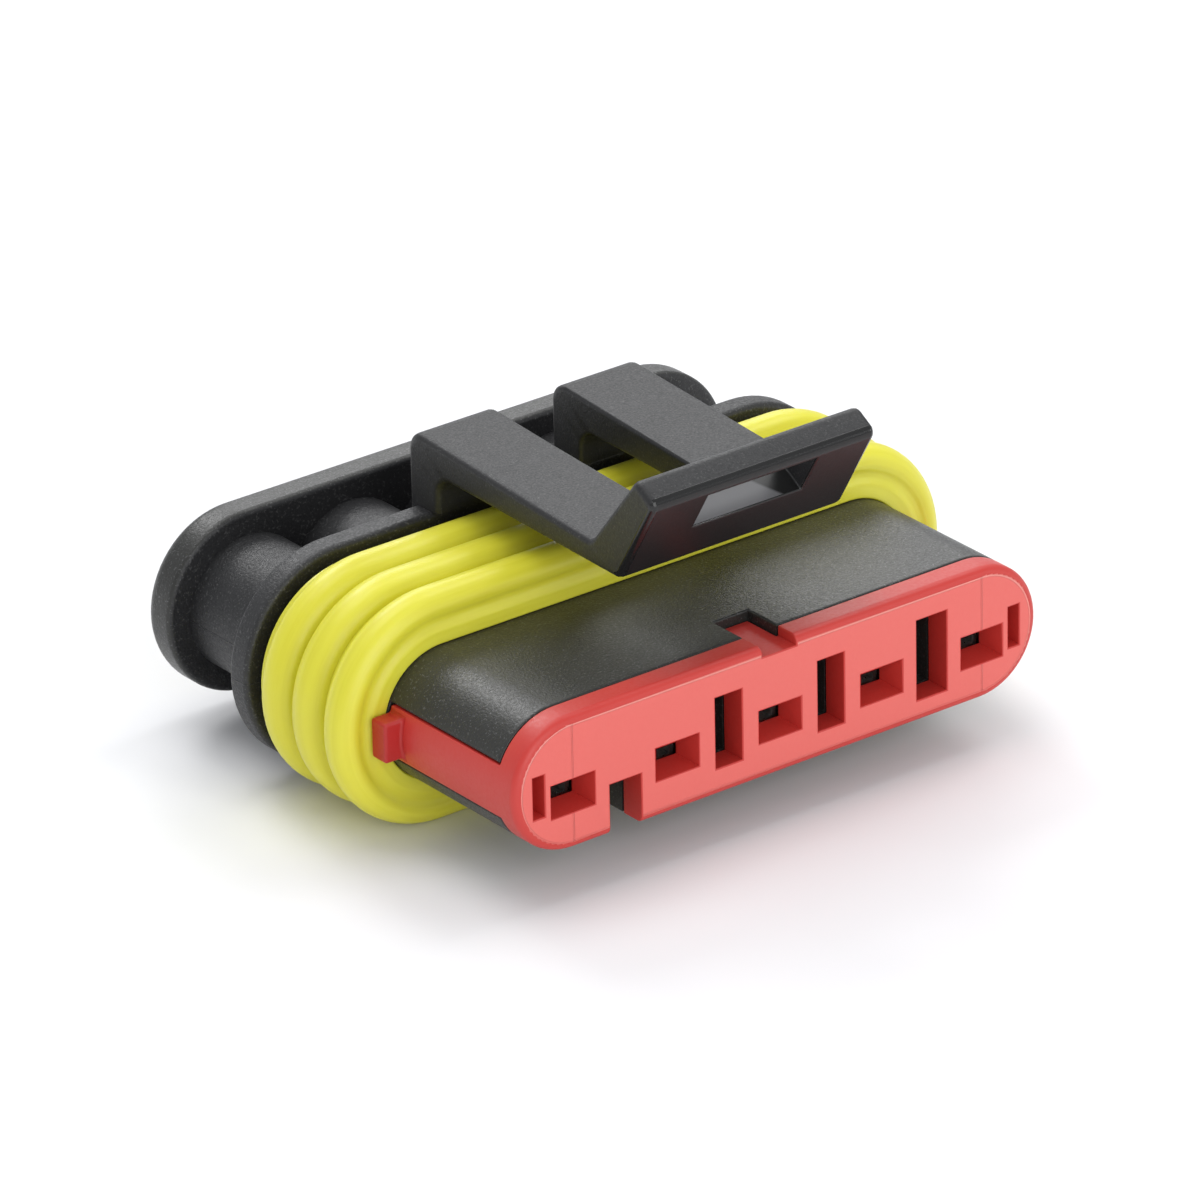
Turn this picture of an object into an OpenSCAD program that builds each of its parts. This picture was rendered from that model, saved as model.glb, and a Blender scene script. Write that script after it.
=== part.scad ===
// Sealed plug for a row of receptacle contacts: a moulded housing with a sprung mating latch,
// a ribbed interface seal round its nose, a front secondary lock, and a contact and a wire seal
// for each way. Every length is in millimetres. Inside the modules Y = 0 is the mating face,
// +Y runs back towards the wires, and Z = 0 is the middle plane of the nose and flanges.

/* [Contact row] */
// Distance between neighbouring contacts
pitch = 6; // [5.8:0.1:7]
// Depth of the contact row below the middle plane of the nose
row_drop = 0.65; // [0.55:0.05:0.75]
// Width of a contact's box
box_w = 2.3; // [2.1:0.1:2.5]
// Height of a contact's box
box_h = 2; // [1.8:0.1:2.1]
// Length of a contact's box
box_l = 7.4; // [7:0.1:8]
// Thickness of the contact strip
strip_t = 0.25; // [0.2:0.05:0.3]

/* [Nose and flanges] */
// Half height of the nose
nose_r = 3.35; // [3.3:0.05:3.6]
// Length of the nose in front of the interface seal, cap of the lock included
nose_l = 9.7; // [9.4:0.1:11]
// Half height of the front flange, which the seal leans on
front_flange_r = 5.5; // [5:0.1:5.8]
// Thickness of the front flange
front_flange_t = 1.4; // [1.2:0.1:1.8]
// Half height of the rear flange
rear_flange_r = 4.6; // [4.2:0.1:5]
// Thickness of the rear flange
rear_flange_t = 2; // [1.6:0.1:2.4]
// Outer radius of the tube round each wire seal
tube_r = 3.4; // [3.2:0.05:3.6]
// Length of the tubes between the two flanges
tube_l = 6; // [5:0.5:8]
// Radius of the bore that takes a wire seal
bore_r = 2.45; // [2.4:0.05:2.6]

/* [Interface seal] */
// Half height of the seal over its ribs
rib_peak_r = 5.87; // [5.7:0.05:6.1]
// Half height of the seal in the grooves between its ribs
rib_valley_r = 5.05; // [4.8:0.05:5.2]
// Distance from one rib to the next
rib_pitch = 2.35; // [2.2:0.05:2.5]
// Half height of the seal at its front edge
seal_lip_r = 4.6; // [4.3:0.05:4.8]
// Length of the plain skirt behind the last rib
seal_skirt = 0.5; // [0.3:0.1:0.8]
// Free gap between the seal and the front flange
seal_gap = 0.5; // [0.3:0.1:0.8]

/* [Secondary lock] */
// Depth of the lock's cap at the mating face
cap_t = 1.4; // [1.2:0.1:1.8]
// Width of a contact mouth at the mating face
mouth_w = 2.48; // [2.3:0.05:2.7]
// Height of a contact mouth at the mating face
mouth_h = 1.65; // [1.5:0.05:1.8]
// Width of the two narrow key slots
key_slot_w = 1.55; // [1.3:0.05:1.7]
// Width of the wide key slot
wide_slot_w = 1.8; // [1.6:0.05:2]
// Height of the two narrow key slots
key_slot_h = 3.6; // [3.2:0.1:3.8]
// Height of the wide key slot
wide_slot_h = 4.1; // [3.8:0.1:4.2]
// Depth of the key slots behind the mating face
slot_l = 6.5; // [5:0.5:7]
// Height of the side straps that hold the lock
strap_h = 2.6; // [2.2:0.1:2.8]
// Thickness of the side straps
strap_t = 0.75; // [0.6:0.05:0.85]
// Height of the hooks at the ends of the straps
hook_h = 2; // [1.6:0.1:2.2]
// How far the strap hooks stand out of the nose
hook_out = 0.9; // [0.6:0.1:1.2]

/* [Wire seal] */
// Radius of the hole for the wire
wire_r = 0.85; // [0.7:0.05:0.95]
// Length of the ribbed body of a wire seal
wire_seal_l = 6.3; // [5.5:0.1:7]
// Length of the neck that the contact grips
seal_neck_l = 2.8; // [2.4:0.1:3.4]
// Outer radius of that neck
seal_neck_r = 1.38; // [1.25:0.01:1.38]
// Depth of a wire seal behind the rear face
seal_recess = 0.5; // [0.3:0.1:1]

/* [Latch] */
// Width over both arms of the latch
latch_w = 13; // [12:0.5:15]
// Gap between the two arms
latch_gap = 3.85; // [3.5:0.05:3.95]
// Height of the latch's legs over the front flange
leg_h = 3.7; // [3.4:0.1:4.2]
// Thickness of the legs
leg_t = 2.2; // [1.9:0.1:2.5]
// Thickness of the arms where they leave the legs
arm_t = 1.8; // [1.6:0.1:2]
// Fall of the arms' upper face from the legs to the front plate
arm_fall = 0.8; // [0.5:0.1:1]
// Slope of the front plate from the horizontal, in degrees
plate_slope = 59; // [55:1:65]
// Height of the front plate along its slope
plate_h = 5.4; // [5:0.1:6]
// Thickness of the front plate
plate_t = 1.7; // [1.5:0.1:2]
// Width of the catch window in the front plate
window_w = 6.3; // [5:0.1:7]
// Height of the catch window along the slope
window_h = 2.3; // [2:0.1:2.6]
// Distance from the mating face back to the foot of the front plate
plate_y = 3.5; // [3:0.1:4]

/* [Hidden] */
$fn = 48;
ways = 5;
// Room that cuts run past a face
past = 1;
// Clearances: contact in its channel, lock in the housing, seal on its seat, latch foot
channel_gap = 0.1;
lock_gap = 0.08;
seal_fit = 0.02;
foot_gap = 0.05;
neck_fit = 0.02;

// Row of contacts
end_x = (ways - 1) / 2 * pitch;
function row_x(i) = (i - (ways + 1) / 2) * pitch;

// Stations along Y
nose_y = cap_t + lock_gap;
rib_r = 1.1;
seal_l = 2 * rib_pitch + 2 * rib_r + seal_skirt;
seal_y = nose_l;
flange_y = seal_y + seal_l + seal_gap;
tube_y = flange_y + front_flange_t;
rear_y = tube_y + tube_l;
back_y = rear_y + rear_flange_t;

// Contact and its channel
box_y = cap_t + 0.4;
box_end = box_y + box_l;
box_floor = -row_drop - box_h / 2;
channel_w = box_w + 2 * channel_gap;
channel_top = -row_drop + box_h / 2 + channel_gap;
channel_floor = box_floor - channel_gap;
bore_y = box_end + 2.2;
window_y = box_y + 3.4;
window_l = 2;
finger_w = box_w - 2 * strip_t - 0.5;
finger_l = 4.2;
finger_y = box_y + 0.1;

// Lance of the housing, and the tongue of the lock that blocks it
lance_w = 1.4;
lance_t = 0.65;
lance_z = channel_top + 0.12;
lance_l = 4;
lance_root = window_y + lance_l;
tongue_w = 1.7;
tongue_t = 0.6;
tongue_z = lance_z + lance_t + 0.15;
tongue_l = window_y + 1.6 - cap_t;
pocket_w = tongue_w + 2 * lock_gap;
pocket_top = tongue_z + tongue_t + lock_gap;

// Keys of the mating face
slot_z = -0.16;
slot_list = [[-pitch / 2, key_slot_w, key_slot_h], [pitch / 2, key_slot_w, key_slot_h],
    [1.5 * pitch, wide_slot_w, wide_slot_h]];
notch_x = -1.5 * pitch;
notch_w = 1.8;
notch_top = -0.8;
notch_l = slot_l + 1;
end_slot_w = 0.65;
end_slot_h = 2.1;
end_slot_x = end_x + mouth_w / 2 + end_slot_w / 2 + 0.37;
rim_gap_w = 2;
rim_gap_d = 0.5;
rim_gap_l = 3.6;
ledge_w = rim_gap_w - 2 * lock_gap;
face_round = 0.4;

// Side straps and their hooks
strap_x = end_x + nose_r - strap_t;
strap_end = seal_y - 0.1;
hook_l = 1.1;

// Wire seal
seal_back = back_y - seal_recess;
seal_body_y = seal_back - wire_seal_l;
seal_neck_y = seal_body_y - seal_neck_l;
wire_rib_r = 0.5;
wire_seal_r = bore_r - seal_fit;

// Crimp barrels of a contact
insulation_r = seal_neck_r + neck_fit + strip_t;
conductor_r = 1.05;
conductor_y = bore_y + 0.6;
conductor_l = 2.8;
insulation_y = seal_neck_y + 0.5;
insulation_l = seal_neck_l - 0.8;

// Latch, in its side view
leg_back = tube_y + 0.5;
arm_w = (latch_w - latch_gap) / 2;
leg_foot = front_flange_r + foot_gap;
leg_top = front_flange_r + leg_h;
arm_y = plate_y + 2.1;
arm_gap_y = arm_y + 0.3;
plate_drop = 1.25;
plate_foot_z = leg_top - arm_fall - plate_drop;
window_low = 2.5;
window_reach = plate_t + 3;
plate_dir = [-cos(plate_slope), sin(plate_slope)];
plate_back = [sin(plate_slope), cos(plate_slope)];

// Rest: the lowest rib stands on Z = 0, and the box is centred over the origin
rest_z = rib_peak_r;
middle_y = back_y / 2;

module place() translate([0, -middle_y, rest_z]) children();

// Corner points of an outline, each rounded by its own radius with an arc of a few points
function unit(v) = v / norm(v);
function arc_steps(r) = r > 0.6 ? 6 : 4;
function corner(a, b, c, r) =
    r <= 0 ? [b] :
    let (u = unit(a - b), v = unit(c - b),
         half = acos(max(-1, min(1, u * v))) / 2,
         d = r / tan(half),
         p = b + u * d, q = b + v * d,
         m = b + unit(u + v) * (r / sin(half)))
    [for (k = [0:arc_steps(r)])
        let (w = k / arc_steps(r), dir = unit((p - m) * (1 - w) + (q - m) * w)) m + dir * r];
function rounded(pts, radii) =
    [for (i = [0:len(pts) - 1])
        each corner(pts[(i + len(pts) - 1) % len(pts)], pts[i], pts[(i + 1) % len(pts)], radii[i])];

// Sweeps a section, given as distance from the row's middle line against depth, round the stadium
module stadium_sweep() {
    for (side = [-1, 1])
        translate([side * end_x, 0, 0]) rotate([-90, 0, 0]) rotate([0, 0, -90 * side])
            rotate_extrude(angle = 180) children();
    for (m = [0, 1])
        mirror([0, 0, m]) translate([-end_x, 0, 0]) rotate([90, 0, 90])
            linear_extrude(2 * end_x) mirror([1, -1]) children();
}

// Solid stadium block from one depth to another, with rounded front and back edges
module stadium_block(r, from_y, to_y, front_round = 0, back_round = 0) {
    module section() translate([0, from_y]) {
        l = to_y - from_y;
        difference() {
            square([r, l]);
            if (front_round > 0) translate([r - front_round, -past]) square([past + r, past + front_round]);
            if (back_round > 0)
                translate([r - back_round, l - back_round]) square([past + r, past + back_round]);
        }
        if (front_round > 0) intersection() {
            translate([r - front_round, front_round]) circle(front_round);
            translate([r - front_round, 0]) square(front_round);
        }
        if (back_round > 0) intersection() {
            translate([r - back_round, l - back_round]) circle(back_round);
            translate([r - back_round, l - back_round]) square(back_round);
        }
    }
    stadium_sweep() section();
}

// Box given by its middle in X and by its ends in Y and Z
module slab(x, w, y0, y1, z0, z1) translate([x - w / 2, y0, z0]) cube([w, y1 - y0, z1 - z0]);

// Cylinder along +Y
module rod(x, z, r, y0, y1) translate([x, y0, z]) rotate([-90, 0, 0]) cylinder(r = r, h = y1 - y0);

// Outline in the side view, given as depth against height, made as wide as asked about X = 0
module side_profile(w) rotate([90, 0, 90]) translate([0, 0, -w / 2]) linear_extrude(w) children();

// Mouth that narrows from the mating face to the back of the cap
module mouth(i) {
    back_w = mouth_w - 0.6;
    back_h = mouth_h - 0.5;
    intersection() {
        translate([row_x(i), 0, -past - row_drop - mouth_h]) linear_extrude(2 * past + 2 * mouth_h)
            polygon([[-mouth_w / 2, 0], [mouth_w / 2, 0], [back_w / 2, cap_t], [back_w / 2, cap_t + past],
                [-back_w / 2, cap_t + past], [-back_w / 2, cap_t]]);
        translate([row_x(i), 0, -row_drop]) side_profile(mouth_w + past)
            polygon([[0, -mouth_h / 2], [0, mouth_h / 2], [cap_t, back_h / 2], [cap_t + past, back_h / 2],
                [cap_t + past, -back_h / 2], [cap_t, -back_h / 2]]);
    }
    slab(row_x(i), mouth_w, -past, 0.001, -row_drop - mouth_h / 2, -row_drop + mouth_h / 2);
}

// Key slots, the open notch below and the channel above, cut in cap and nose alike
module face_keys() {
    for (s = slot_list)
        slab(s[0], s[1], -past, slot_l, slot_z - s[2] / 2, slot_z + s[2] / 2);
    slab(notch_x, notch_w, -past, notch_l, -nose_r - past, notch_top);
    slab(0, rim_gap_w, -past, rim_gap_l, nose_r - rim_gap_d, nose_r + past);
}

// Straps that run back along both ends of the nose; grown by a gap they make their own grooves
module straps(gap, from_y, to_y)
    for (side = [-1, 1])
        slab(side * (strap_x + strap_t - gap / 2), 2 * strap_t + gap, from_y, to_y,
            -strap_h / 2 - gap, strap_h / 2 + gap);

// One lance of the housing: rooted at the back, with its tip in the contact's window
module lance(i)
    translate([row_x(i), 0, 0]) side_profile(lance_w)
        polygon([[lance_root + past / 2, lance_z], [lance_root + past / 2, lance_z + lance_t],
            [window_y + 0.15, lance_z + lance_t], [window_y + 0.15, lance_z - 0.3],
            [window_y + 1.4, lance_z]]);

module plug_housing() color("#2a2a2c") place() {
    difference() {
        union() {
            stadium_block(nose_r, nose_y, flange_y + front_flange_t / 2);
            stadium_block(front_flange_r, flange_y, tube_y, 0.3, 0.3);
            for (i = [1:ways])
                rod(row_x(i), 0, tube_r, flange_y + front_flange_t / 2, rear_y + rear_flange_t / 2);
            stadium_block(rear_flange_r, rear_y, back_y, 0.3, 0.8);
            // blocks behind the front flange that the legs of the latch grow out of
            for (side = [-1, 1])
                slab(side * (latch_gap + arm_w) / 2, arm_w, tube_y - front_flange_t / 2, leg_back,
                    0, front_flange_r);
        }
        for (i = [1:ways]) {
            slab(row_x(i), channel_w, nose_y - past, bore_y + past / 2, channel_floor, channel_top);
            slab(row_x(i), pocket_w, nose_y - past, lance_root, channel_top - past / 2, pocket_top);
            rod(row_x(i), 0, bore_r, bore_y, back_y + past);
        }
        face_keys();
        slab(0, rim_gap_w, nose_y - past, rim_gap_l, pocket_top - past / 2, nose_r);
        straps(lock_gap, nose_y - past, seal_y);
    }
    for (i = [1:ways]) lance(i);
}

module latch_outline()
    polygon(rounded([
        [leg_back, leg_foot],
        [leg_back, leg_top],
        [arm_y, leg_top - arm_fall],
        [plate_y, plate_foot_z] + plate_dir * plate_h + plate_back * plate_t,
        [plate_y, plate_foot_z] + plate_dir * plate_h,
        [plate_y, plate_foot_z],
        [leg_back - leg_t, leg_top - arm_t],
        [leg_back - leg_t, leg_foot]],
        [0, 0.9, 0.5, 0.45, 0.45, 0.6, 0.9, 0]));

module latch() color("#303032") place() difference() {
    side_profile(latch_w) latch_outline();
    slab(0, latch_gap, arm_gap_y, leg_back + past, 0, leg_top + past);
    translate([0, plate_y, plate_foot_z]) rotate([-plate_slope, 0, 0])
        translate([-window_w / 2, -window_low - window_h, -past])
            cube([window_w, window_h, past + window_reach]);
}

module interface_seal() color("#e0dc38") place()
    stadium_sweep() translate([0, seal_y]) {
        translate([nose_r + seal_fit, 0]) square([seal_lip_r - nose_r - seal_fit, seal_l]);
        translate([seal_lip_r - seal_fit, rib_r])
            square([rib_valley_r - seal_lip_r + seal_fit, seal_l - rib_r]);
        for (k = [0:2])
            translate([rib_peak_r - rib_r, rib_r + k * rib_pitch]) circle(rib_r);
    }

module secondary_lock() color("#d8564f") place() {
    difference() {
        stadium_block(nose_r, 0, cap_t, face_round, 0);
        for (i = [1:ways]) mouth(i);
        face_keys();
        for (side = [-1, 1])
            slab(side * end_slot_x, end_slot_w, -past, 1, slot_z - end_slot_h / 2, slot_z + end_slot_h / 2);
    }
    for (i = [1:ways])
        slab(row_x(i), tongue_w, cap_t - 0.2, cap_t + tongue_l, tongue_z, tongue_z + tongue_t);
    // ledge that fills the gap in the rim and stiffens the middle tongue
    slab(0, ledge_w, cap_t - 0.2, rim_gap_l - lock_gap, tongue_z, nose_r - rim_gap_d);
    intersection() {
        stadium_block(nose_r, cap_t - 0.2, strap_end);
        straps(0, cap_t - 0.2, strap_end);
    }
    for (side = [-1, 1])
        slab(side * (strap_x + (strap_t + hook_out) / 2), strap_t + hook_out,
            strap_end - hook_l, strap_end, -hook_h / 2, hook_h / 2);
}

// Tube of strip metal along Y, open along its top by the given gap
module barrel(z, r, y0, y1, seam) difference() {
    rod(0, z, r, y0, y1);
    rod(0, z, r - strip_t, y0 - past, y1 + past);
    slab(0, seam, y0 - past, y1 + past, z, z + r + past);
}

module receptacle_contact(i) color("#c9ccce") place() translate([row_x(i), 0, 0]) {
    difference() {
        slab(0, box_w, box_y, box_end, box_floor, box_floor + box_h);
        slab(0, box_w - 2 * strip_t, box_y - past, box_end + past,
            box_floor + strip_t, box_floor + box_h - strip_t);
        slab(0, lance_w + 0.2, window_y, window_y + window_l, -row_drop, box_floor + box_h + past);
    }
    // spring tongue that presses the tab against the roof of the box
    translate([0, finger_y, box_floor]) side_profile(finger_w)
        polygon([[0, strip_t / 2], [0, strip_t], [finger_l / 2, 3 * strip_t], [finger_l, strip_t],
            [finger_l, strip_t / 2], [finger_l / 2, 1.6 * strip_t]]);
    // floor strip from the box to the last barrel
    slab(0, box_w - 4 * strip_t, box_end - strip_t, insulation_y + strip_t, box_floor, box_floor + strip_t);
    barrel(box_floor + conductor_r, conductor_r, conductor_y, conductor_y + conductor_l, 0.2);
    barrel(0, insulation_r, insulation_y, insulation_y + insulation_l, 0.8);
}

module wire_seal(i) color("#dcd740") place() translate([row_x(i), 0, 0]) rotate([-90, 0, 0])
    rotate_extrude() difference() {
        union() {
            translate([0, seal_neck_y]) square([seal_neck_r, seal_neck_l + past]);
            translate([0, seal_body_y]) square([wire_seal_r - 0.35, wire_seal_l]);
            for (k = [0:2])
                translate([wire_seal_r - wire_rib_r, seal_body_y + wire_seal_l * (k + 0.5) / 3])
                    circle(wire_rib_r);
        }
        translate([0, seal_neck_y - past]) square([wire_r, seal_neck_l + wire_seal_l + 2 * past]);
        translate([-2 * wire_rib_r, seal_body_y]) square([2 * wire_rib_r, wire_seal_l]);
    }

plug_housing();
latch();
interface_seal();
secondary_lock();
for (i = [1:ways]) receptacle_contact(i);
for (i = [1:ways]) wire_seal(i);
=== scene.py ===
from math import cos, hypot, pi, radians, sin

import bmesh
import bpy
from mathutils import Matrix, Quaternion, Vector


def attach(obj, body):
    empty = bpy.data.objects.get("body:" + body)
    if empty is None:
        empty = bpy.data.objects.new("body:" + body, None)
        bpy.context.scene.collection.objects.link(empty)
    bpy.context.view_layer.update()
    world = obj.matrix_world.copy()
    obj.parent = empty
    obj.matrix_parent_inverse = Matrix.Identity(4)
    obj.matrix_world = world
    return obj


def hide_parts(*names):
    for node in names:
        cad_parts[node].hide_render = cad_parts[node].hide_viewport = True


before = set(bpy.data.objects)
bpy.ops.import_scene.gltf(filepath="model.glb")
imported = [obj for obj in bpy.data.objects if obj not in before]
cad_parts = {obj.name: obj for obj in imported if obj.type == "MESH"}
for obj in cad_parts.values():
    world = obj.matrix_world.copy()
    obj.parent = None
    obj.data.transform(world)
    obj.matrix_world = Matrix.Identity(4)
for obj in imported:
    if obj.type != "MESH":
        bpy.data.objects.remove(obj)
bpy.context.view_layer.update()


# ---- Table top -------------------------------------------------------------------------------
# A plain white sheet that curves up behind the plug, as in a light tent. It is not part of the
# object. White card, matte, with no texture of its own.

sheet_half = 0.6
sheet_bend = 0.12


def placed(name, form):
    """Makes a bmesh into an object of the scene, with its place in its mesh."""
    data = bpy.data.meshes.new(name)
    form.to_mesh(data)
    form.free()
    piece = bpy.data.objects.new(name, data)
    bpy.context.scene.collection.objects.link(piece)
    return piece


sheet = bmesh.new()
back_edge = [sheet.verts.new((x, sheet_half, 0)) for x in (-sheet_half, sheet_half)]
front_edge = [sheet.verts.new((x, -sheet_half, 0)) for x in (-sheet_half, sheet_half)]
sheet.faces.new((front_edge[0], front_edge[1], back_edge[1], back_edge[0]))
rear = [edge for edge in sheet.edges if set(edge.verts) == set(back_edge)]
bmesh.ops.spin(
    sheet, geom=rear + back_edge, cent=(0, sheet_half, sheet_bend), axis=(1, 0, 0),
    angle=radians(90), steps=16, use_duplicate=False)
bmesh.ops.recalc_face_normals(sheet, faces=sheet.faces)
for face in sheet.faces:
    face.smooth = True
table_top = placed("table_top", sheet)

white_card = bpy.data.materials.new("white_card")
white_card.use_nodes = True
card = white_card.node_tree.nodes["Principled BSDF"]
card.inputs["Base Color"].default_value = (0.86, 0.86, 0.87, 1)
card.inputs["Roughness"].default_value = 0.9
card.inputs["Specular IOR Level"].default_value = 0.2
table_top.data.materials.append(white_card)


# ---- Camera and light ------------------------------------------------------------------------
# A long lens from the left and above, turned a little about its own axis. Five square soft boxes
# light the tops, the sides and the red face, and a small one draws lines along the front edges.

# One millimetre in the scene's metres. Angles are in degrees, the azimuth from the front.
MM = 0.001
view_azimuth, view_elevation, view_roll = -37.19, 25.48, -1.24
view_distance = 0.4594
aim = Vector((0, 0, 6.4 * MM))


def sight(azimuth, elevation):
    """The direction from the plug towards a place at this azimuth and elevation, in degrees."""
    turn = Matrix.Rotation(radians(azimuth), 3, "Z") @ Matrix.Rotation(radians(-elevation), 3, "X")
    return turn @ Vector((0, -1, 0))


camera_data = bpy.data.cameras.new("camera")
camera_data.lens = 294.4
camera_data.sensor_width = 36
camera_data.clip_start, camera_data.clip_end = 0.05, 5
camera = bpy.data.objects.new("camera", camera_data)
towards = sight(view_azimuth, view_elevation)
camera.location = aim + towards * view_distance
camera.rotation_mode = "QUATERNION"
camera.rotation_quaternion = (
    (-towards).to_track_quat("-Z", "Y") @ Quaternion((0, 0, 1), radians(view_roll)))
bpy.context.scene.collection.objects.link(camera)
bpy.context.scene.camera = camera


def soft_box(name, azimuth, elevation, distance, size, watts):
    """A square lamp that faces the plug from this side."""
    lamp_data = bpy.data.lights.new(name, "AREA")
    lamp_data.shape = "SQUARE"
    lamp_data.size = size
    lamp_data.energy = watts
    lamp = bpy.data.objects.new(name, lamp_data)
    outwards = sight(azimuth, elevation)
    lamp.location = aim + outwards * distance
    lamp.rotation_mode = "QUATERNION"
    lamp.rotation_quaternion = (-outwards).to_track_quat("-Z", "Y")
    bpy.context.scene.collection.objects.link(lamp)


soft_box("box_overhead", azimuth=-150, elevation=76, distance=0.5, size=0.3, watts=0.8)
soft_box("box_behind", azimuth=141, elevation=29, distance=0.55, size=0.26, watts=0.52)
soft_box("box_rear", azimuth=172, elevation=42, distance=0.5, size=0.16, watts=0.6)
soft_box("box_right", azimuth=94, elevation=55, distance=0.5, size=0.18, watts=0.4)
soft_box("box_front", azimuth=-12, elevation=18, distance=0.6, size=0.5, watts=1.8)
soft_box("box_edges", azimuth=45, elevation=14, distance=0.6, size=0.07, watts=0.25)

# The room lights the plug softly, and the camera sees it as pure white.
room = bpy.data.worlds.new("room")
room.use_nodes = True
nodes, links = room.node_tree.nodes, room.node_tree.links
path = nodes.new("ShaderNodeLightPath")
lit = nodes["Background"]
lit.inputs["Color"].default_value = (0.87, 0.89, 0.92, 1)
lit.inputs["Strength"].default_value = 0.62
seen = nodes.new("ShaderNodeBackground")
seen.inputs["Color"].default_value = (1, 1, 1, 1)
pick = nodes.new("ShaderNodeMixShader")
links.new(path.outputs["Is Camera Ray"], pick.inputs["Fac"])
links.new(lit.outputs["Background"], pick.inputs[1])
links.new(seen.outputs["Background"], pick.inputs[2])
links.new(pick.outputs["Shader"], nodes["World Output"].inputs["Surface"])
bpy.context.scene.world = room
bpy.context.scene.view_settings.view_transform = "Standard"


# ---- Plug housing ----------------------------------------------------------------------------
# One moulding in black glass-filled nylon: the nose, the front flange, five tubes for the wire
# seals and the rear flange. The tool is spark-eroded behind the seal and smoother on the nose.

# The contacts lie in one row, and the nose and the flanges run round it at an even distance.
row_half = 12 * MM
middle_z = 5.87 * MM
nose_radius = 3.35 * MM
rear_flange_radius = 4.6 * MM

# Stations from the front: the end of the smooth part of the tool, the rear of the front flange,
# and the two sides of the rear flange.
smooth_end = 3.9 * MM
flange_back = 6 * MM
rear_flange_front = 11.5 * MM
rear_face = 13.5 * MM

# The two blocks on the front flange that the latch's legs stand on.
roots_bottom = 8 * MM
roots_half = 6 * MM

# An edge or a face within this distance of a size counts as lying on it.
slack = 0.1 * MM
small_radius, leg_radius, outer_leg_radius = 0.12 * MM, 0.22 * MM, 0.32 * MM


def off_row(point):
    """How far a point lies from the straight line through the middles of the five contacts."""
    return hypot(max(abs(point.x) - row_half, 0), point.z - middle_z)


def moulding(node, name, edge_radius):
    """A copy of a moulding's skin, with its edges broken to small radii. edge_radius gives the
    radius of a sharp edge from its middle, whether it stands out and how it runs, or 0 to leave
    it. The work is done in mm: Blender parts concave faces wrongly when they are very small."""
    skin = bmesh.new()
    skin.from_mesh(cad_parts[node].data)
    bmesh.ops.scale(skin, verts=skin.verts, vec=(1 / MM, 1 / MM, 1 / MM))
    bmesh.ops.remove_doubles(skin, verts=skin.verts, dist=0.0005)
    bmesh.ops.dissolve_limit(skin, angle_limit=radians(0.3), verts=skin.verts, edges=skin.edges)
    sharp = radians(35)
    radii = {}
    for edge in skin.edges:
        turn = edge.calc_face_angle_signed(0)
        if abs(turn) > sharp:
            start, end = (corner.co * MM for corner in edge.verts)
            radius = edge_radius((start + end) / 2, turn > 0, end - start)
            if radius:
                radii.setdefault(radius, []).append(edge)
    for radius in sorted(radii, reverse=True):
        bmesh.ops.bevel(
            skin, geom=[edge for edge in radii[radius] if edge.is_valid], affect="EDGES",
            offset=radius / MM, offset_type="OFFSET", segments=3, profile=0.5, material=-1,
            clamp_overlap=False)
    for edge in skin.edges:
        edge.smooth = edge.calc_face_angle(0) < sharp
    for face in skin.faces:
        face.smooth = True
    bmesh.ops.triangulate(skin, faces=[face for face in skin.faces if len(face.verts) > 4])
    bmesh.ops.scale(skin, verts=skin.verts, vec=(MM, MM, MM))
    piece = placed(name, skin)
    even = piece.modifiers.new("flat_faces_stay_flat", "WEIGHTED_NORMAL")
    even.keep_sharp = True
    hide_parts(node)
    return piece


def coat(piece, finishes, face_finish):
    """Gives each face the finish that face_finish picks from its middle and its normal."""
    for finish in finishes:
        piece.data.materials.append(finish)
    for face in piece.data.polygons:
        face.material_index = finishes.index(face_finish(face.center, face.normal))


def surface(material):
    """The settings of a material's surface."""
    return material.node_tree.nodes["Principled BSDF"].inputs


def plastic(name, colour, roughness):
    """A moulded plastic in one colour."""
    material = bpy.data.materials.new(name)
    material.use_nodes = True
    surface(material)["Base Color"].default_value = (*colour, 1)
    surface(material)["Roughness"].default_value = roughness
    return material


def reckon(material, operation, first, second=None):
    """One step of arithmetic in a material. first and second are sockets or numbers."""
    step = material.node_tree.nodes.new("ShaderNodeMath")
    step.operation = operation
    for socket, value in zip(step.inputs, (first, second)):
        if isinstance(value, bpy.types.NodeSocket):
            material.node_tree.links.new(value, socket)
        elif value is not None:
            socket.default_value = value
    return step.outputs["Value"]


def ramp(material, value, start, end, at_start=0, at_end=1, curve="LINEAR"):
    """Runs from at_start to at_end as value goes from start to end, and stays there beyond."""
    slope = material.node_tree.nodes.new("ShaderNodeMapRange")
    slope.interpolation_type = curve
    slope.inputs["From Min"].default_value = start
    slope.inputs["From Max"].default_value = end
    slope.inputs["To Min"].default_value = at_start
    slope.inputs["To Max"].default_value = at_end
    material.node_tree.links.new(value, slope.inputs["Value"])
    return slope.outputs["Result"]


def place_on(material):
    """A point's place on the piece, as one socket."""
    return material.node_tree.nodes.new("ShaderNodeTexCoord").outputs["Object"]


def axes_on(material):
    """A point's place on the piece, as three sockets for x, y and z."""
    parts = material.node_tree.nodes.new("ShaderNodeSeparateXYZ")
    material.node_tree.links.new(place_on(material), parts.inputs["Vector"])
    return tuple(parts.outputs)


def mottle(material, place, scale, detail, roughness=0.5):
    """A random pattern between 0 and 1."""
    noise = material.node_tree.nodes.new("ShaderNodeTexNoise")
    noise.inputs["Scale"].default_value = scale
    noise.inputs["Detail"].default_value = detail
    noise.inputs["Roughness"].default_value = roughness
    material.node_tree.links.new(place, noise.inputs["Vector"])
    return noise.outputs["Fac"]


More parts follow.
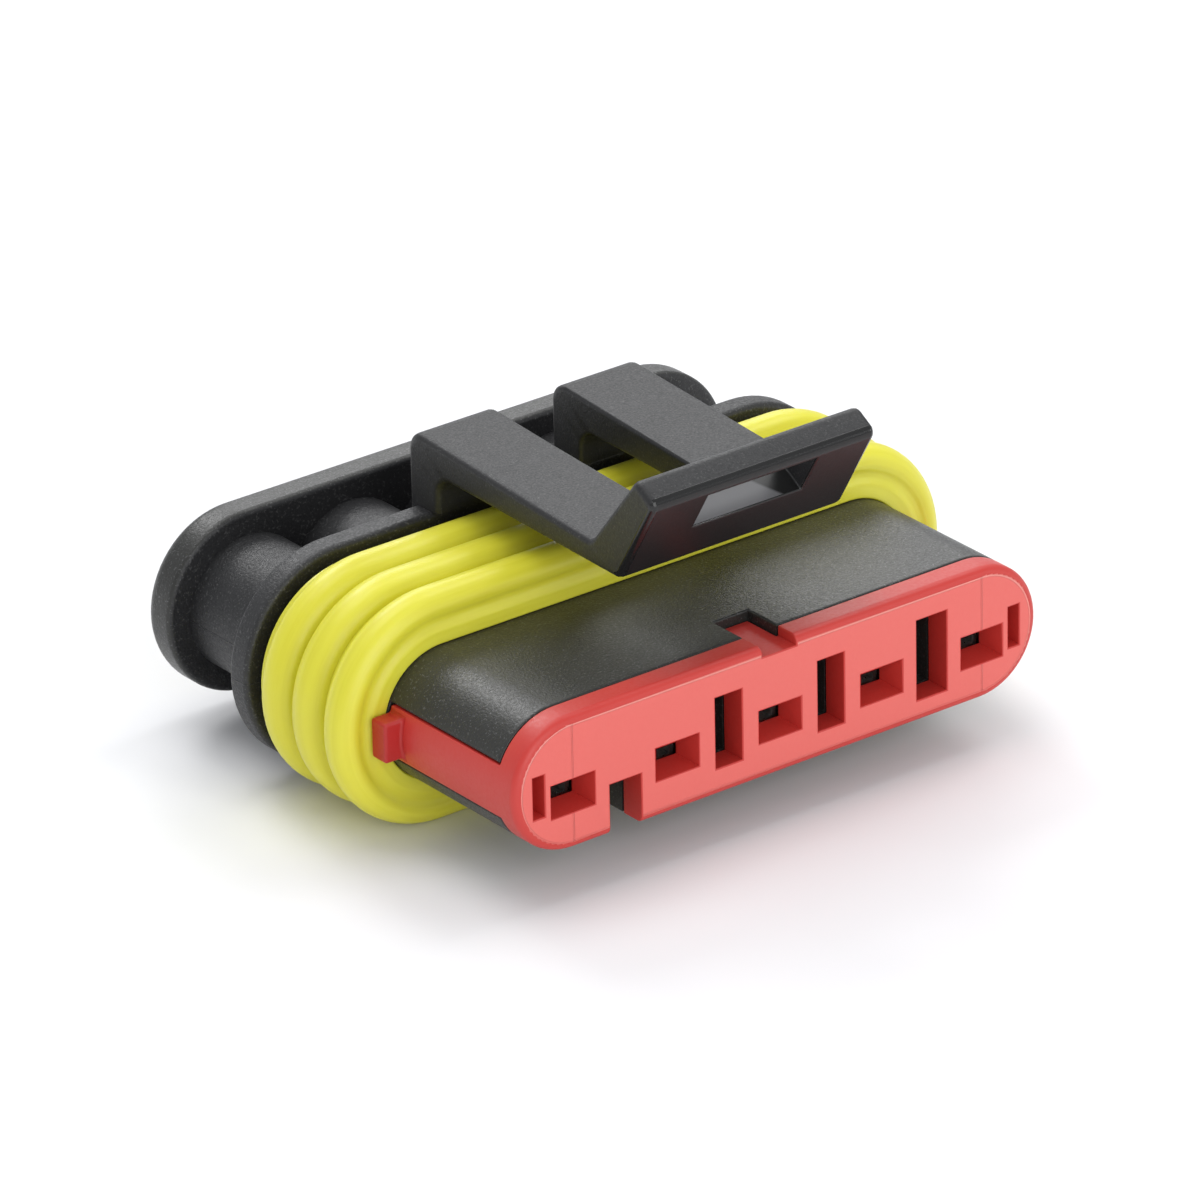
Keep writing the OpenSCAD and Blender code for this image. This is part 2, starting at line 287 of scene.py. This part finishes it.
def emboss(material, pattern, height):
    """Raises the surface by height where pattern is 1, on top of what is raised already."""
    bump = material.node_tree.nodes.new("ShaderNodeBump")
    bump.inputs["Distance"].default_value = height
    bump.inputs["Strength"].default_value = 1
    material.node_tree.links.new(pattern, bump.inputs["Height"])
    normal = surface(material)["Normal"]
    if normal.is_linked:
        material.node_tree.links.new(normal.links[0].from_socket, bump.inputs["Normal"])
    material.node_tree.links.new(bump.outputs["Normal"], normal)


def grained(name, colour, pits_per_metre, pit_depth, smoothest, roughest):
    """A finish with the pits of a spark-eroded tool, and a roughness that wanders with them."""
    material = plastic(name, colour, (smoothest + roughest) / 2)
    pits = mottle(material, place_on(material), pits_per_metre, detail=2, roughness=0.6)
    emboss(material, pits, pit_depth)
    wander = ramp(material, pits, 0.3, 0.7, smoothest, roughest)
    material.node_tree.links.new(wander, surface(material)["Roughness"])
    return material


def tint(material, amount, colour):
    """Turns a finish towards another colour where amount is 1."""
    base = surface(material)["Base Color"]
    mix = material.node_tree.nodes.new("ShaderNodeMix")
    mix.data_type = "RGBA"
    mix.inputs["A"].default_value = base.default_value
    mix.inputs["B"].default_value = (*colour, 1)
    material.node_tree.links.new(amount, mix.inputs["Factor"])
    material.node_tree.links.new(mix.outputs["Result"], base)


def speckle(material, width, threshold, grey):
    """Pale specks of fibre and dust, where a fine pattern peaks above a threshold."""
    dots = mottle(material, place_on(material), 1 / width, detail=1)
    tint(material, ramp(material, dots, threshold, threshold + 0.08), (grey, grey, grey))


def tool_line(material, value, at, width, height):
    """A fine raised line where two parts of the tool meet, where value is at. Gives its mask."""
    off = reckon(material, "ABSOLUTE", reckon(material, "SUBTRACT", value, at))
    near = ramp(material, off, 0, width, 1, 0, "SMOOTHSTEP")
    emboss(material, near, height)
    return near


def housing_edge(middle, outwards, along):
    """The nose, the flanges and the mouths of the bores are broken a little. The blocks under the
    latch's legs are rounded as the legs are, and the rear rim of their flange stays sharp."""
    by_roots = abs(middle.y - flange_back) < slack and middle.z > roots_bottom
    upright = abs(along.x) < slack / 10 and along.length > 1 * MM
    if outwards and upright and by_roots:
        return outer_leg_radius if abs(middle.x) > roots_half else leg_radius
    away = off_row(middle)
    on_nose = middle.y < smooth_end and away > nose_radius - slack
    on_flange = away > rear_flange_radius - slack and abs(middle.y - flange_back) > 0.7 * MM
    round_bore = middle.y > rear_face - slack
    return small_radius if outwards and (on_nose or on_flange or round_bore) else 0


def housing_finish(middle, normal):
    """Smooth and a little paler on the nose and on the rear flange's rim, the paleness a painted
    sheen, and grained elsewhere.
    """
    on_rear_rim = middle.y > rear_flange_front - slack and off_row(middle) > rear_flange_radius - slack
    return smooth_nylon if middle.y < smooth_end or on_rear_rim else black_nylon


black_nylon = grained(
    "black_nylon", (0.017, 0.017, 0.018), pits_per_metre=7500, pit_depth=0.03 * MM,
    smoothest=0.36, roughest=0.6)
tool_line(black_nylon, axes_on(black_nylon)[2], at=middle_z, width=0.06 * MM, height=0.02 * MM)
speckle(black_nylon, width=0.11 * MM, threshold=0.62, grey=0.06)
# The smooth finish is a little paler than black_nylon: a painted sheen on the nose and the rear
# flange's rim.
smooth_nylon = grained(
    "smooth_black_nylon", (0.022, 0.022, 0.02), pits_per_metre=8000, pit_depth=0.02 * MM,
    smoothest=0.3, roughest=0.48)
speckle(smooth_nylon, width=0.11 * MM, threshold=0.63, grey=0.085)
housing = moulding("plug_housing", "housing_shell", housing_edge)
coat(housing, [black_nylon, smooth_nylon], housing_finish)
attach(housing, "housing")


# ---- Contacts --------------------------------------------------------------------------------
# Five receptacles stamped from phosphor bronze and tin-plated, with the strip folded into a box
# and a crimp barrel. They are pushed in from the rear until the housing's lances snap in.


def finish_solid(node, material):
    """Gives a solid of the part its finish, with its shape as it is."""
    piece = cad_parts[node]
    piece.data.materials.clear()
    piece.data.materials.append(material)


tin_plate = grained(
    "tin_plate", (0.7, 0.7, 0.68), pits_per_metre=3500, pit_depth=0.002 * MM,
    smoothest=0.25, roughest=0.4)
surface(tin_plate)["Metallic"].default_value = 1
for way in range(1, 6):
    finish_solid("receptacle_contact_%d" % way, tin_plate)


# ---- Wire seals ------------------------------------------------------------------------------
# Five ribbed silicone plugs with a hole for the wire, pressed into the bores behind the contacts.
# They are moulded in a yellow silicone a little warmer than the interface seal's.

wire_silicone = grained(
    "yellow_wire_silicone", (0.76, 0.66, 0.05), pits_per_metre=3000, pit_depth=0.003 * MM,
    smoothest=0.38, roughest=0.5)
for way in range(1, 6):
    finish_solid("wire_seal_%d" % way, wire_silicone)


# ---- Interface seal --------------------------------------------------------------------------
# A yellow silicone ring with three ribs, stretched over the nose up to the front flange. It is
# moulded, satin, faintly streaked along the ribs, and lets a little light into their crests.

seal_front = -3.8 * MM
# The section in mm: heights above the row, and distances behind the front edge. A rib is an arc
# with its centre's height and distance, its radius, and the angle in degrees where it starts.
seal_bore, bore_corner = 3.37, 0.06
groove_start, groove_middle, groove_half, groove_depth = 3.95, 4.52, 0.56, 0.2
rib_arcs = ((4.92, 1.02, 0.95, -81), (4.77, 3.45, 1.1, -75), (4.77, 5.8, 1.1, -75))
rib_end_angle = 75
skirt_front, skirt_radius, skirt_corner, seal_length = 6.95, 5.05, 0.08, 7.4


def seal_outline():
    """The section's points, from the bore at the front edge over the shallow groove in the front
    face, the three ribs and the skirt, to the bore at the rear edge."""
    outline = [(seal_bore, bore_corner), (seal_bore + bore_corner, 0)]
    for step in range(10):
        above = groove_start + 0.1 * step
        swing = pi * (above - groove_middle) / groove_half
        outline.append((above, groove_depth / 2 * (1 + cos(swing))))
    for above, behind, radius, first_angle in rib_arcs:
        for angle in range(first_angle, rib_end_angle + 1, 10):
            turn = radians(angle)
            outline.append((above + radius * cos(turn), behind + radius * sin(turn)))
    outline += [(skirt_radius, skirt_front), (skirt_radius, seal_length - skirt_corner)]
    return outline + [(skirt_radius - skirt_corner, seal_length), (seal_bore, seal_length)]


def off_row_on(material, x, z):
    """off_row inside a material, from the sockets of x and z."""
    beyond = reckon(material, "SUBTRACT", reckon(material, "ABSOLUTE", x), row_half)
    beyond = reckon(material, "MAXIMUM", beyond, 0)
    above = reckon(material, "SUBTRACT", z, middle_z)
    squares = [reckon(material, "POWER", part, 2) for part in (beyond, above)]
    return reckon(material, "SQRT", reckon(material, "ADD", *squares))


seal_silicone = grained(
    "yellow_silicone", (0.6, 0.55, 0.012), pits_per_metre=2500, pit_depth=0.004 * MM,
    smoothest=0.32, roughest=0.44)
surface(seal_silicone)["Subsurface Weight"].default_value = 0.3
surface(seal_silicone)["Subsurface Radius"].default_value = (1, 0.85, 0.3)
surface(seal_silicone)["Subsurface Scale"].default_value = 0.5 * MM
x, y, z = axes_on(seal_silicone)
around = seal_silicone.node_tree.nodes.new("ShaderNodeCombineXYZ")
for socket, value in zip(around.inputs, (
        off_row_on(seal_silicone, x, z), y, reckon(seal_silicone, "MULTIPLY", x, 0.06))):
    seal_silicone.node_tree.links.new(value, socket)
streaks = mottle(seal_silicone, around.outputs["Vector"], scale=2200, detail=3)
emboss(seal_silicone, streaks, 0.02 * MM)
tint(seal_silicone, streaks, (0.8, 0.77, 0.08))

# The section is swept round one end, drawn straight to the other end, and so on back to its start.
ring = bmesh.new()
corners = [
    ring.verts.new((row_half, seal_front + behind * MM, middle_z + above * MM))
    for above, behind in seal_outline()]
outline = [ring.edges.new(pair) for pair in zip(corners, corners[1:] + corners[:1])]
for end in (1, -1):
    half_turn = bmesh.ops.spin(
        ring, geom=corners + outline, cent=(end * row_half, 0, middle_z), axis=(0, 1, 0),
        angle=radians(180), steps=40, use_duplicate=False)
    last = [part for part in half_turn["geom_last"] if isinstance(part, bmesh.types.BMEdge)]
    straight = bmesh.ops.extrude_edge_only(ring, edges=last)["geom"]
    corners = [part for part in straight if isinstance(part, bmesh.types.BMVert)]
    outline = [part for part in straight if isinstance(part, bmesh.types.BMEdge)]
    bmesh.ops.translate(ring, verts=corners, vec=(-2 * end * row_half, 0, 0))
bmesh.ops.remove_doubles(ring, verts=ring.verts, dist=0.001 * MM)
bmesh.ops.recalc_face_normals(ring, faces=ring.faces)
for edge in ring.edges:
    edge.smooth = edge.calc_face_angle(0) < radians(40)
for face in ring.faces:
    face.smooth = True
seal = placed("seal_ring", ring)
seal.data.materials.append(seal_silicone)
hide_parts("interface_seal")
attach(seal, "housing")


# ---- Secondary lock --------------------------------------------------------------------------
# A red nylon cap on the front of the nose, with the mouths of the contacts in its face. Two side
# straps run back along the nose to hooks, and the cap is drawn forward to free the contacts.

# Stations of the face and of the hooks, and how far from the row the line round the face runs.
face_y = -13.5 * MM
hooks_front = -5.2 * MM
rim_line = 2.92 * MM
rim_radius, hook_radius, mouth_radius = 0.4 * MM, 0.15 * MM, 0.07 * MM


def lock_edge(middle, outwards, along):
    """The rim of the face is rounded most, then the hooks, and the mouths only a little."""
    if middle.y > hooks_front:
        return hook_radius
    if not outwards:
        return 0
    on_rim = middle.y < face_y + slack and off_row(middle) > nose_radius - slack
    return rim_radius if on_rim else mouth_radius


def lock_finish(middle, normal):
    """Matte and paler on the flat of the face, the paleness a painted sheen, and a darker red on the
    hooks, a painted shade.
    """
    if middle.y < face_y + slack / 50:
        return matte_painted_sheen_red
    return painted_shade_red if middle.y > hooks_front else red_nylon


red_nylon = grained(
    "red_nylon", (0.54, 0.036, 0.028), pits_per_metre=5200, pit_depth=0.006 * MM,
    smoothest=0.38, roughest=0.5)
# The hooks' darker red is a painted shade on the same nylon as the rest of the cap.
painted_shade_red = grained(
    "painted_shade_red_nylon", (0.42, 0.012, 0.01), pits_per_metre=5200, pit_depth=0.006 * MM,
    smoothest=0.38, roughest=0.5)
# The face's paler red is a painted sheen on the same nylon as the rest of the cap.
matte_painted_sheen_red = grained(
    "matte_painted_sheen_red_nylon", (0.72, 0.13, 0.11), pits_per_metre=5200, pit_depth=0.008 * MM,
    smoothest=0.44, roughest=0.58)
x, _, z = axes_on(matte_painted_sheen_red)
tool_line(
    matte_painted_sheen_red, reckon(matte_painted_sheen_red, "ABSOLUTE", x), at=row_half, width=0.07 * MM, height=0.05 * MM)
rim = tool_line(
    matte_painted_sheen_red, off_row_on(matte_painted_sheen_red, x, z), at=rim_line, width=0.08 * MM, height=0.05 * MM)
# A painted highlight: the line round the face is tinted paler, more towards the top.
painted_highlight_top = ramp(matte_painted_sheen_red, z, middle_z - 2 * MM, middle_z + 1 * MM)
tint(matte_painted_sheen_red, reckon(matte_painted_sheen_red, "MULTIPLY", rim, painted_highlight_top), (0.86, 0.3, 0.26))
lock = moulding("secondary_lock", "lock_cap", lock_edge)
coat(lock, [red_nylon, matte_painted_sheen_red, painted_shade_red], lock_finish)
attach(lock, "lock")


# ---- Latch -----------------------------------------------------------------------------------
# The sprung frame over the seal: two legs on the front flange, two arms, and a leaning front
# plate with a catch window. Black nylon, moulded in one with the housing; the plate is polished.

# The legs reach a little into the blocks they stand on, so that no light passes between them.
root_top = 11.42 * MM
root_overlap = 0.05 * MM
legs_half = 6.5 * MM

# The gap between the arms, and the plate with its window.
gap_half, gap_front = 1.925 * MM, -7.6 * MM
window_half, sill_top = 3.15 * MM, 16.5 * MM
plate_back = -9.0 * MM
plate_radius, narrow_radius = 0.1 * MM, 0.03 * MM
plate_slope = radians(59)
plate_front = Vector((0, -sin(plate_slope), -cos(plate_slope)))
plate_up = Vector((0, -cos(plate_slope), sin(plate_slope)))


def latch_edge(middle, outwards, along):
    """The plate and its window are crisp, and the outer sides the roundest. The legs stay sharp
    at their roots, and the front end of the gap nearly so, because its faces are narrow."""
    from_middle = abs(middle.x)
    if from_middle < window_half + slack / 2 and middle.y < plate_back:
        return plate_radius
    if middle.z < root_top + slack / 10:
        return 0
    if from_middle > legs_half - slack:
        return outer_leg_radius
    at_gap_front = from_middle < gap_half + slack and middle.y < gap_front + slack
    return narrow_radius if at_gap_front else leg_radius


def latch_finish(middle, normal):
    """Polished on the front of the plate and in the window's edges, glossy on the plate's other
    front edges, painted sheen and painted shade on the window's sill, and grained elsewhere."""
    in_window = abs(middle.x) < window_half + slack / 2 and middle.y < plate_back
    facing = normal.dot(plate_front) if middle.y < plate_back else 0
    if facing > (0.7 if in_window else 0.97):
        return polished_nylon
    if facing > 0.12:
        return glossy_nylon
    # The sill gets the material with painted sheen, and painted shade at its right end.
    on_sill = in_window and middle.z < sill_top and normal.dot(plate_up) > 0.9
    return painted_sheen_nylon if on_sill else latch_nylon


latch_nylon = grained(
    "latch_black_nylon", (0.017, 0.017, 0.018), pits_per_metre=9000, pit_depth=0.014 * MM,
    smoothest=0.38, roughest=0.58)
surface(latch_nylon)["Specular IOR Level"].default_value = 0.44
speckle(latch_nylon, width=0.1 * MM, threshold=0.64, grey=0.05)
polished_nylon = grained(
    "polished_black_nylon", (0.013, 0.011, 0.011), pits_per_metre=9000, pit_depth=0.003 * MM,
    smoothest=0.3, roughest=0.4)
surface(polished_nylon)["Specular IOR Level"].default_value = 0.38
glossy_nylon = plastic("glossy_black_nylon", (0.01, 0.01, 0.01), 0.17)

# The window's sill is painted grey, a painted sheen, and painted dark at its right end, a painted
# shade, beyond a line that runs at 45 degrees across it. It is toned in the material, because the form
# behind these tones is not known.
painted_sheen_nylon = plastic("painted_sheen_black_nylon", (0.1, 0.1, 0.105), 0.35)
painted_shade_from = -9.2 * MM
x, y, _ = axes_on(painted_sheen_nylon)
painted_shade = ramp(
    painted_sheen_nylon, reckon(painted_sheen_nylon, "ADD", x, y), painted_shade_from, painted_shade_from + 0.2 * MM)
tint(painted_sheen_nylon, painted_shade, (0.006, 0.006, 0.006))

latch = moulding("latch", "latch_frame", latch_edge)
for corner in latch.data.vertices:
    if corner.co.z < root_top + slack / 10:
        corner.co.z -= root_overlap
coat(latch, [latch_nylon, polished_nylon, painted_sheen_nylon, glossy_nylon], latch_finish)
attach(latch, "latch")
